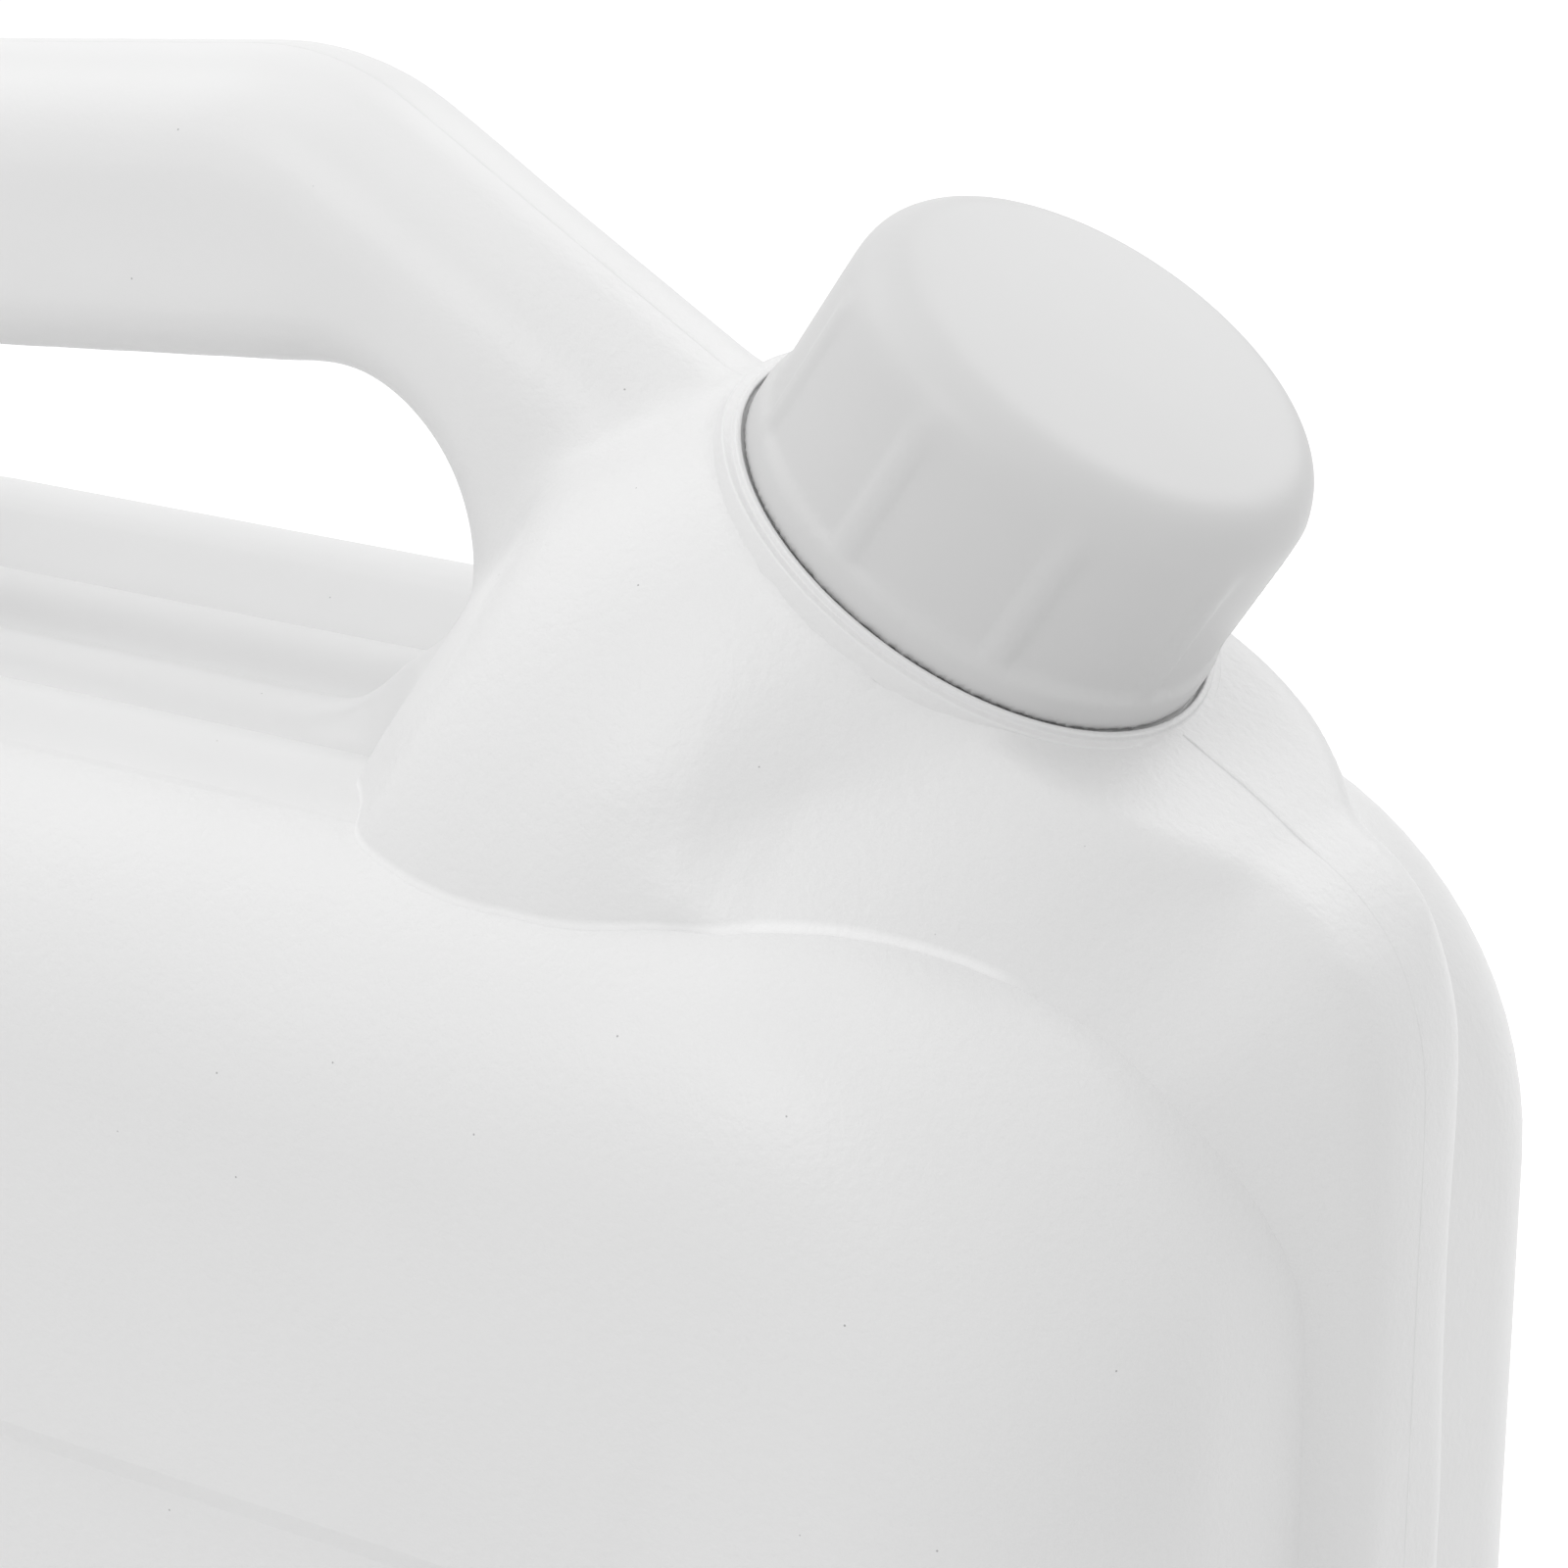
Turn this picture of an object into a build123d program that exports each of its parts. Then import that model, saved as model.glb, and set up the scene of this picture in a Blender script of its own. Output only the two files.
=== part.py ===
from build123d import *
import os
from math import cos, radians, sin, tan

# A blow-moulded jug of about five litres: a white shell, shut by a screw cap.
# Two full body halves meet at a raised spine, which lies in the parting plane of the mould and
# carries the handle over the top. The neck stands tilted on a bell at the spine's sloping end.
# Millimetres, +Z up, +X towards the neck, the origin in the middle of the base.

# Body halves
body_width = 240.0          # X, over the spine
body_depth = 112.0          # Y
body_height = 233.0         # crest of the two halves
edge_radius = 27.0          # rounding all round each wide face
front_radius = 40.0         # upper corner on the spout side, seen from the wide side
rear_ease = 1.5             # the other corners are this much rounder than the edges
base_recess = 2.5
base_ring = 10.0            # flat ring the jug stands on

# Label panel, sunk into each wide face
panel_width = 146.0
panel_height = 128.0
panel_middle = 103.0        # height of its centre
panel_depth = 1.2
panel_radius = 18.0
panel_slope = 45.0          # degrees, its walls lean outwards

# Spine in the parting plane
spine_step = 4.8            # stands this far out of the narrow sides
spine_flat = 19.6           # width of its flat crest
spine_reach = 22.0          # how deep its 45 degree flanks run into the body
spine_rounding = 7.0        # soft edge between crest and flank
spine_corner = 24.0
spine_sink = 0.6            # its slope lies this far under the swell beside the neck
swell_shares = (-0.3, 0, 0.25, 0.5, 0.63, 0.78)       # along the slope, from the neck to the side
swell_flats = (30.0, 34.0, 44.0, 41.0, 31.0, 17.0)    # width of the swell's crest there
swell_drops = (0, 0, 0, 0, 0.1, 2.2)                  # and how far it has sunk into the spine
swell_reach = 24.0          # how deep its flanks run
spine_rear_corner = 30.0
saddle_height = 230.5       # crest under the handle
saddle_flat = 27.0          # width of the crest there
saddle_flank = 2.6          # its 45 degree flanks drop this far
saddle_gutter = 13.0        # from there the halves rise to their crests over this width
groove_width = 9.4          # pinched groove along the saddle
groove_depth = 3.0
climb_radius = 18.0         # hollow curve in which it climbs the bell's rear

# Neck and the bell it stands on
neck_setback = 48.8         # from the spout side to the middle of the cap's seat
seat_height = 257.0         # middle of the cap's seat
neck_tilt = 34.0            # degrees from upright
slope_angle = 30.2          # degrees, the spine's sloping end
bell_flare = 19.8           # from the bell's mouth out to its full radius
bell_shoulder = 52.0        # length of the curve from mouth to full radius
bell_depth = 78.0
bell_rear = 41.5            # its rear is cut to a wedge whose sharp edge would lie here
bell_rear_angle = 25.4      # degrees, each side of the wedge
bell_rear_radius = 20.0     # rounding of that edge
bell_edge_radius = 8.0      # between the wedge and the round sides
collar_step = 0.8           # the collar stands this far out of the bell's mouth
collar_ledge = 2.0          # and out of the cap's flange
collar_height = 1.6
neck_radius = 20.8
neck_lip = 1.2

# Handle, a closed ring with the hand gap in it
handle_width = 28.5
handle_rounding = 12.5      # round back of the grip
gap_rounding = 8.0          # and its inner side
handle_crest = 297.0        # height of its front bend
handle_drop = 1.0           # its back lies this far below the spine's slope
handle_fall = 5.0           # degrees, the grip falls towards the rear
handle_bend = 32.0
handle_rear_bend = 36.0
grip_height = 31.0          # grip, crest to underside
gap_front = 52.8            # from the seat's middle back to the gap
gap_length = 100.2
gap_radius = 17.0
gap_foot_radius = 6.0
root_radius = 16.0          # corners buried in the bell and the body
root_depth = 56.0           # the ring closes this far inside the body

# Screw cap
cap_wall = 3.2              # thickness round the neck
cap_height = 25.2
cap_roof = 3.2              # thickness over the neck
cap_edge_radius = 5.0
cap_crown = 0.8             # rise of the domed top
flange_step = 0.7           # the flange stands this far out of the wall
flange_height = 3.4
cap_clearance = 0.3         # to the neck and to the collar
rib_count = 9
rib_turn = -16.0            # degrees, first rib from the spout side
rib_width = 2.2
rib_top = 19.6              # above the cap's rim
rib_proud = 0.45

rear_radius = edge_radius + rear_ease
cap_radius = neck_radius + cap_clearance + cap_wall
flange_radius = cap_radius + flange_step
collar_radius = flange_radius + collar_ledge
bell_mouth_radius = collar_radius - collar_step
bell_radius = bell_mouth_radius + bell_flare
half_width = body_width / 2
neck_x = half_width - neck_setback
gap_front_x = neck_x - gap_front
gap_rear_x = gap_front_x - gap_length
saddle_rear_x = gap_rear_x - gap_foot_radius
seat = Plane(
    origin=(neck_x, 0, seat_height),
    x_dir=(cos(radians(neck_tilt)), 0, -cos(radians(90 - neck_tilt))),
    z_dir=(cos(radians(90 - neck_tilt)), 0, cos(radians(neck_tilt))),
)
neck_length = cap_height - cap_roof

# The spine's slope passes just under the cap's rim at its front.
rim_drop = sin(radians(neck_tilt)) - cos(radians(neck_tilt)) * tan(radians(slope_angle))
slope_drop = flange_radius * rim_drop + cap_clearance / cos(radians(neck_tilt))


def slope_z(x, inset=0):
    """Height of the spine's sloping end at x, sunk square to the slope by inset."""
    fall = (x - neck_x) * tan(radians(slope_angle))
    return seat_height - slope_drop - fall - inset / cos(radians(slope_angle))


def grip_z(x):
    """Height of the handle's top line at x, behind its front bend."""
    return handle_crest + (x - bend_x) * tan(radians(handle_fall))


# The front bend lies where the handle's top line meets its sloping back.
bend_x = neck_x - (handle_crest - slope_z(neck_x, handle_drop)) / tan(radians(slope_angle))


def spine_corners(inset):
    """Corners of the spine seen from the wide side, drawn inset all round."""
    front = half_width - inset
    saddle = saddle_height - inset
    return [
        (front, inset),
        (front, slope_z(front, inset + spine_sink)),
        (neck_x, slope_z(neck_x, inset + spine_sink)),
        (neck_x, saddle),
        (-front, saddle),
        (-front, inset),
    ]


def spine_radii(inset):
    """Radii at those corners; the two at the neck lie hidden in the bell."""
    corner = spine_corner - inset
    return [corner, corner, 0, 0, spine_rear_corner - inset, corner]


with BuildPart() as spine:
    flank_foot = spine_flat / 2 + spine_reach
    for y, inset in (
        (-flank_foot, spine_reach),
        (-spine_flat / 2, 0),
        (spine_flat / 2, 0),
        (flank_foot, spine_reach),
    ):
        with BuildSketch(Plane.XZ.offset(-y)):
            with BuildLine():
                FilletPolyline(*spine_corners(inset), radius=spine_radii(inset), close=True)
            make_face()
    loft(ruled=True)
    crest_edges = spine.edges().filter_by(
        lambda edge: abs(abs(edge.center().Y) - spine_flat / 2) < spine_rounding / spine_flat / 10
    )
    fillet(crest_edges, radius=spine_rounding)

with BuildPart() as handle:
    grip_drop = grip_height / cos(radians(handle_fall))
    with BuildSketch(Plane.XZ):
        with BuildLine():
            FilletPolyline(
                (neck_x, saddle_height - root_depth),
                (neck_x, slope_z(neck_x, handle_drop)),
                (bend_x, handle_crest),
                (-half_width, grip_z(-half_width)),
                (-half_width, saddle_height - root_depth),
                radius=[root_radius, root_radius, handle_bend, handle_rear_bend, root_radius],
                close=True,
            )
        make_face()
    extrude(amount=handle_width / 2, both=True)
    with BuildSketch(Plane.XZ):
        with BuildLine():
            FilletPolyline(
                (gap_front_x, saddle_height - root_radius),
                (gap_front_x, grip_z(gap_front_x) - grip_drop),
                (gap_rear_x, grip_z(gap_rear_x) - grip_drop),
                (gap_rear_x, saddle_height - root_radius),
                radius=[gap_foot_radius, gap_radius, gap_radius, gap_foot_radius],
                close=True,
            )
        make_face()
    extrude(amount=handle_width, both=True, mode=Mode.SUBTRACT)
    sides = handle.faces().filter_by(Axis.Y)
    back_edges = [edge for face in sides for edge in face.outer_wire().edges()]
    gap_edges = [edge for face in sides for wire in face.inner_wires() for edge in wire.edges()]
    fillet(back_edges, radius=handle_rounding)
    fillet(gap_edges, radius=gap_rounding)

# The bell under the neck: a turned form whose rear, towards the hand gap, is a blunt wedge
with BuildPart() as bell:
    mouth_z = -cap_clearance - collar_height
    with BuildSketch(Plane.XZ):
        with BuildLine():
            mouth = (bell_mouth_radius, mouth_z)
            full = (bell_radius, -bell_shoulder)
            TangentArc(full, mouth, tangent=(0, 1))
            Polyline(full, (bell_radius, -bell_depth), (0, -bell_depth), (0, mouth_z), mouth)
        make_face()
    revolve(axis=Axis.Z)
    with BuildSketch(Plane.XY.offset(-bell_depth)):
        with BuildLine():
            wedge_end = bell_radius * tan(radians(bell_rear_angle)) - bell_rear
            FilletPolyline(
                (-bell_rear, 0),
                (wedge_end, bell_radius),
                (bell_radius, bell_radius),
                (bell_radius, -bell_radius),
                (wedge_end, -bell_radius),
                radius=[bell_rear_radius, 0, 0, 0, 0],
                close=True,
            )
        make_face()
    extrude(amount=bell_depth, mode=Mode.INTERSECT)
    wedge_edges = bell.edges().filter_by(
        lambda edge: edge.center().X < 0 and abs(edge.center().Y) > bell_rear_radius
    )
    fillet(wedge_edges.filter_by(lambda edge: edge.center().Z > -bell_depth), radius=bell_edge_radius)

# The neck finish on the bell: a flat collar and a plain stub that the cap hides.
with BuildPart() as neck:
    with BuildSketch(Plane.XY.offset(-cap_clearance - collar_height)):
        Circle(collar_radius)
    extrude(amount=collar_height)
    fillet(neck.edges().group_by(Axis.Z)[-1], radius=collar_height / 3)
    with BuildSketch(Plane.XY.offset(-cap_clearance)):
        Circle(neck_radius)
    extrude(amount=neck_length)
    fillet(neck.edges().group_by(Axis.Z)[-1], radius=neck_lip)

# The spine's crest swells on its slope, on the way from the neck to the spout side
with BuildPart() as shoulder:
    for share, crest, drop in zip(swell_shares, swell_flats, swell_drops):
        x = neck_x + share * neck_setback
        square_to_slope = Plane(
            origin=(x, 0, slope_z(x, drop)),
            x_dir=(0, 1, 0),
            z_dir=(cos(radians(slope_angle)), 0, -sin(radians(slope_angle))),
        )
        with BuildSketch(square_to_slope):
            with BuildLine():
                FilletPolyline(
                    (-crest / 2 - swell_reach, -swell_reach),
                    (-crest / 2, 0),
                    (crest / 2, 0),
                    (crest / 2 + swell_reach, -swell_reach),
                    radius=[0, spine_rounding, spine_rounding, 0],
                    close=True,
                )
            make_face()
    loft()

# The saddle ends in a hollow curve that climbs the bell's rear line
with BuildPart() as climb:
    blunt_rear = bell_rear - bell_rear_radius * (1 / cos(radians(bell_rear_angle)) - 1)
    rear_line = blunt_rear / cos(radians(neck_tilt))
    meet_x = neck_x - rear_line - (seat_height - saddle_height) * tan(radians(neck_tilt))
    reach = climb_radius * tan(radians(90 - neck_tilt) / 2)
    low = (meet_x - reach, saddle_height)
    high = (meet_x + reach * sin(radians(neck_tilt)), saddle_height + reach * cos(radians(neck_tilt)))
    with BuildSketch(Plane.XZ):
        with BuildLine():
            TangentArc(low, high, tangent=(1, 0))
            Polyline(
                high,
                (neck_x, high[1]),
                (neck_x, saddle_height - saddle_flank),
                (low[0], saddle_height - saddle_flank),
                low,
            )
        make_face()
    extrude(amount=saddle_flat / 2, both=True)

with BuildPart() as jug:
    # The two halves as one block, rounded all round each wide face
    end = half_width - spine_step
    with BuildSketch(Plane.XZ):
        with BuildLine():
            FilletPolyline(
                (end, 0),
                (end, body_height),
                (-end, body_height),
                (-end, 0),
                radius=[rear_radius, front_radius, rear_radius, rear_radius],
                close=True,
            )
        make_face()
    extrude(amount=body_depth / 2, both=True)
    fillet(jug.faces().filter_by(Axis.Y).edges(), radius=edge_radius)
    # A valley along the top leaves the saddle, with a gutter on each side of it
    valley_half = saddle_flat / 2 + saddle_flank + saddle_gutter
    valley_lip = body_height + saddle_flank
    with BuildSketch(Plane.YZ.offset(-half_width)):
        with BuildLine():
            Polyline(
                (-valley_half, valley_lip),
                (-valley_half, body_height),
                (-valley_half + saddle_gutter, saddle_height - saddle_flank),
                (-saddle_flat / 2, saddle_height),
                (saddle_flat / 2, saddle_height),
                (valley_half - saddle_gutter, saddle_height - saddle_flank),
                (valley_half, body_height),
                (valley_half, valley_lip),
                close=True,
            )
        make_face()
    extrude(amount=half_width + neck_x, mode=Mode.SUBTRACT)
    add(spine.part)
    add(shoulder.part)
    add(climb.part)
    # A groove runs along the saddle, where the mould pinches the shell
    groove_radius = (groove_width**2 / 4 + groove_depth**2) / (2 * groove_depth)
    with BuildSketch(Plane.YZ.offset(saddle_rear_x)):
        with Locations((0, saddle_height + groove_radius - groove_depth)):
            Circle(groove_radius)
    extrude(amount=neck_x - saddle_rear_x, mode=Mode.SUBTRACT)
    add(handle.part)
    add(seat.location * bell.part)
    add(seat.location * neck.part)
    # A sunk label panel on each wide face
    for side in (-1, 1):
        with BuildSketch(Plane.XZ.offset(side * body_depth / 2)):
            with Locations((0, panel_middle)):
                RectangleRounded(panel_width, panel_height, panel_radius)
        extrude(amount=-side * panel_depth, taper=panel_slope, mode=Mode.SUBTRACT)
    # The hollow of the base leaves a ring to stand on
    hollow_x = body_width - 2 * (spine_step + rear_radius + base_ring)
    hollow_y = body_depth - 2 * (edge_radius + base_ring)
    with BuildSketch(Plane.XY):
        RectangleRounded(hollow_x, hollow_y, min(base_ring, hollow_y / 3))
    extrude(amount=base_recess, mode=Mode.SUBTRACT)

with BuildPart() as cap:
    # Turned form: flange, wall, generous edge and a low dome
    with BuildSketch(Plane.XZ):
        with BuildLine():
            wall_top = (cap_radius, cap_height - cap_crown - cap_edge_radius)
            edge_top = (cap_radius - cap_edge_radius, cap_height - cap_crown)
            TangentArc((0, cap_height), edge_top, tangent=(1, 0))
            TangentArc(wall_top, edge_top, tangent=(0, 1))
            Polyline(
                wall_top,
                (cap_radius, flange_height + flange_radius - cap_radius),
                (flange_radius, flange_height),
                (flange_radius, 0),
                (0, 0),
                (0, cap_height),
            )
        make_face()
    revolve(axis=Axis.Z)
    # Grip ribs with round ends, from the flange up the wall
    for i in range(rib_count):
        turn = radians(rib_turn + i * 360 / rib_count)
        outward = (cos(turn), sin(turn), 0)
        root = Plane(origin=(0, 0, 0), x_dir=(-sin(turn), cos(turn), 0), z_dir=outward)
        with BuildSketch(root.offset(neck_radius + cap_clearance)):
            with Locations((0, (rib_top + flange_height / 2) / 2)):
                SlotOverall(rib_top - flange_height / 2, rib_width, rotation=90)
        extrude(amount=cap_radius + rib_proud - neck_radius - cap_clearance)
    # The neck's room, with its clearance
    with BuildSketch(Plane.XY):
        Circle(neck_radius + cap_clearance)
    extrude(amount=neck_length, mode=Mode.SUBTRACT)

seated_cap = seat.location * cap.part

os.makedirs("parts", exist_ok=True)
for piece, label in ((jug.part, "jug"), (seated_cap, "cap")):
    piece.label = label
    export_step(piece, f"parts/{label}.step")
    print(label, round(piece.volume), len(piece.solids()), piece.bounding_box())
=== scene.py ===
import math

import bmesh
import bpy
from mathutils import Matrix, Vector, noise


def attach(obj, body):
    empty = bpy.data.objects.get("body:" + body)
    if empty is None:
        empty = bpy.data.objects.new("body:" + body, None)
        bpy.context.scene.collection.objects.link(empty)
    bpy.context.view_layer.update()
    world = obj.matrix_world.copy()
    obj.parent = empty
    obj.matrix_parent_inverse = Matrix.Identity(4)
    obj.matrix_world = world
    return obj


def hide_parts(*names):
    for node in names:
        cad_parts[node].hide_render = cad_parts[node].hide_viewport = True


# A white blow-moulded jug with a hollow top handle and a ribbed screw cap, in plain soft light.
# Metres, +Z up, +X towards the neck.

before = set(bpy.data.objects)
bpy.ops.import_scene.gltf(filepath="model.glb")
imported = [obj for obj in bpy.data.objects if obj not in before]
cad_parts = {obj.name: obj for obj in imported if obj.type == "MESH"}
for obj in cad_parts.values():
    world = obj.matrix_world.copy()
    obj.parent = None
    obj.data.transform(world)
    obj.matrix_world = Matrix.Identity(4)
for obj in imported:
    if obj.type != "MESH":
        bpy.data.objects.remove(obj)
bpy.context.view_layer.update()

MM = 0.001
SAME_PLACE = 0.001 * MM

# Where the neck's seat is, and how it tilts towards the spout side
SEAT = Vector((71.2, 0, 257.0)) * MM
NECK_TILT = math.radians(34)
NECK_AXIS = Vector((math.sin(NECK_TILT), 0, math.cos(NECK_TILT)))

# The block of the two body halves, in mm: half its length, its height, half its thickness, its
# corners seen from the wide side (the upper front one as in the CAD and as shown), its wide edges
BLOCK_END = 115.2
BLOCK_TOP = 233.0
BLOCK_DEPTH = 56.0
FRONT_CORNER = 40.0
FRONT_CORNER_SEEN = 44.0
OTHER_CORNER = 28.5
EDGE_ROUND = 27.0
ROUND_STEPS = 18

# How the halves' faces are told in the CAD mesh, in mm: beyond this side, below this height or
# this near the block
PANEL_BAND = 54.7
BASE_BAND = 2.6
ON_BLOCK = 0.05

# Label panels and base hollow, in mm
PANEL_SIZE = (146.0, 128.0)
PANEL_MIDDLE = 103.0
PANEL_DEPTH = 1.2
PANEL_CORNER = 18.0
PANEL_SLOPE = 2.2
HOLLOW_SIZE = (153.4, 38.0)
HOLLOW_DEPTH = 2.5
HOLLOW_CORNER = 10.0

# The valley between the halves, in mm: half its width, the arc of its walls down to the inner half
# width, its lip above the block, and its reach along x
VALLEY_HALF = 29.0
VALLEY_RADIUS = 15.4
VALLEY_STEPS = 10
VALLEY_INNER = 13.0
VALLEY_LIP = (33.0, 0.6)
VALLEY_REACH = (-125.0, 70.0)

# The eased edges of those cuts in mm, and the angle from which an edge is shaded as sharp
EDGE_EASE = 0.5
EDGE_STEPS = 3
EDGE_ANGLE = math.radians(20)
SHARP_ANGLE = math.radians(24)

# Spine, bell and handle: their even mesh, and how far they run into the block
VOXEL = 1.0 * MM
ROOT = 5.0 * MM
KEPT_ROOT = 2.2
INWARD_ENOUGH = 0.2

# How often each region of them is smoothed, and the share of that which also wears crests
SOFT_STEPS = 4
BLEND_STEPS = 44
CORNER_STEPS = 160
SADDLE_STEPS = 70
FILL_STEPS = 280
FILL_KEEP = 0.55
LEAST_WEIGHT = 0.01

# Those regions, as pairs of mm from weight 0 to weight 1. Depth is measured below the neck's seat
# along its axis, out from that axis and rear towards the handle; x, side and height in the frame.
HANDLE_OUT, HANDLE_DEPTH, HANDLE_HEIGHT = (70, 58), (44, 34), (240, 248)
FRONT_REAR, FRONT_X, FRONT_DEPTH = (-14, -26), (118, 112), (52, 42)
BLEND_DEPTH = (4, 9)
SLOPE_DEPTH, SLOPE_REAR, SLOPE_HEIGHT = (1, 4), (-8, -20), (165, 190)
SADDLE_HEIGHT, SADDLE_X, SADDLE_SIDE = (243, 236), (60, 45), (30, 22)
SWELL_CORNER, SWELL_REACH = Vector((68.0, 43.0, 230.0)) * MM, (17, 7)
FOOT_CORNER, FOOT_REACH = Vector((26.5, 31.0, 232.5)) * MM, (8, 3)

# The saddle's outer slopes dive under the halves' crests: beyond this side, by this share, and
# in this region
GUTTER = 17.0
GUTTER_DIVE = 0.8
GUTTER_X, GUTTER_HEIGHT = (22, 14), (240, 234)

# The valley that is open to the sky, in mm: half its width, its lowest height and its front end
OPEN_VALLEY = (30.5, 222.0, 100.0)

# Sideways factor for the spine, so that its crease runs as photographed, at distances in mm along
# the halves' outline; it fades out where a point is that far outside the halves
CREASE_WIDTHS = (
    (48, 1.0),
    (56, 1.02),
    (60, 1.022),
    (64, 1.015),
    (68, 0.99),
    (72, 0.975),
    (76, 0.977),
    (80, 0.978),
    (85, 0.983),
    (90, 0.995),
    (95, 1.02),
    (100, 1.055),
    (105, 1.06),
    (110, 1.047),
    (115, 1.016),
    (120, 1.0),
    (126, 0.98),
    (134, 0.93),
    (170, 0.92),
    (250, 1.0),
)
CREASE_FADE = (20, 8)

# The cap: its even mesh, how often its wall and its top edge are smoothed, and their heights in mm
CAP_VOXEL = 0.45 * MM
CAP_STEPS = 8
CAP_EDGE_STEPS = 50
CAP_WALL = (1.5, 3.5)
CAP_EDGE = (15, 20)

# The collar round the neck: pairs of distance from the axis and height, in mm
RING_STEPS = 160
COLLAR_ROUND = 0.25
COLLAR_ROUND_STEPS = 4
COLLAR_PROFILE = (
    (22.0, -3.4),
    (27.05, -2.6),
    (27.05, -0.25),
    (26.1, -0.25),
    (26.0, 0.4),
    (25.35, 0.4),
    (25.3, -0.3),
    (22.0, -0.35),
)

# The raised line where the mould's halves meet: how strongly it shows and where, then its section
# as pairs of side and height in mm
RIPPLE_RATE = 260
SEAM_SWAY = 0.1 * MM
SEAM_STRENGTH = {"side": 0.3, "handle": 0.35, "base": 0.4, "elsewhere": 0.12}
SEAM_SLOPE_REAR, SEAM_SLOPE_X, SEAM_SLOPE_HEIGHT = (-26, -29), (112, 104), (215, 222)
SEAM_SIDE_X, SEAM_HANDLE_HEIGHT, SEAM_BASE_HEIGHT = (100, 116), (258, 264), (12, 4)
SEAMLESS_COLLAR = (27, 3)
PARTING_PROFILE = ((-0.34, -0.06), (-0.2, 0.09), (0.0, 0.07), (0.2, 0.09), (0.34, -0.06))

# Light: plain surroundings, and soft lamps by name, azimuth, elevation, size in m and power in W
WORLD_LIGHT = 0.79
FLOOR_LIFT = 0.4
LAMP_TARGET = Vector((60, 0, 220)) * MM
LAMP_DISTANCE = 1.3
SOFTBOXES = (
    ("overhead", 0, 88, 1.0, 1.6),
    ("front", -101, 40, 0.6, 2.1),
    ("left", -176, 47, 0.8, 1.8),
    ("back", 84, 34, 0.8, 2.6),
)

# The camera stands where the photograph was taken from
CAMERA_AZIMUTH = math.radians(32.8)
CAMERA_ELEVATION = math.radians(19)
CAMERA_PLACE = SEAT + Vector((206.4, -354.0, 116.6)) * MM
LENS = 103.5
SENSOR = 36
CLIP = (0.01, 20)

# The floor's size in m and its paper, and the white that the background shows
FLOOR_SIZE = 8
PAPER = (0.8, 0.8, 0.8, 1)
WHITE = (1, 1, 1, 1)


# ---------------------------------------------------------------- shader maths


class Value:
    """A shader socket that Python's operators can work on."""

    def __init__(self, nodes, socket):
        self.nodes = nodes
        self.socket = socket

    def calc(self, operation, first, second):
        return self.nodes.add("ShaderNodeMath", {"operation": operation}, {0: first, 1: second})

    def __add__(self, other):
        return self.calc("ADD", self, other)

    def __radd__(self, other):
        return self.calc("ADD", other, self)

    def __sub__(self, other):
        return self.calc("SUBTRACT", self, other)

    def __rsub__(self, other):
        return self.calc("SUBTRACT", other, self)

    def __mul__(self, other):
        return self.calc("MULTIPLY", self, other)

    def __rmul__(self, other):
        return self.calc("MULTIPLY", other, self)

    def size(self):
        """The value without its sign."""
        return self.calc("ABSOLUTE", self, 0)

    def rise(self, low, high):
        """0 below low, 1 above high and straight between them."""
        share = (self - low) * (1 / (high - low))
        return share.atleast(0).atmost(1)

    def atleast(self, other):
        return self.calc("MAXIMUM", self, other)

    def atmost(self, other):
        return self.calc("MINIMUM", self, other)


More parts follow.
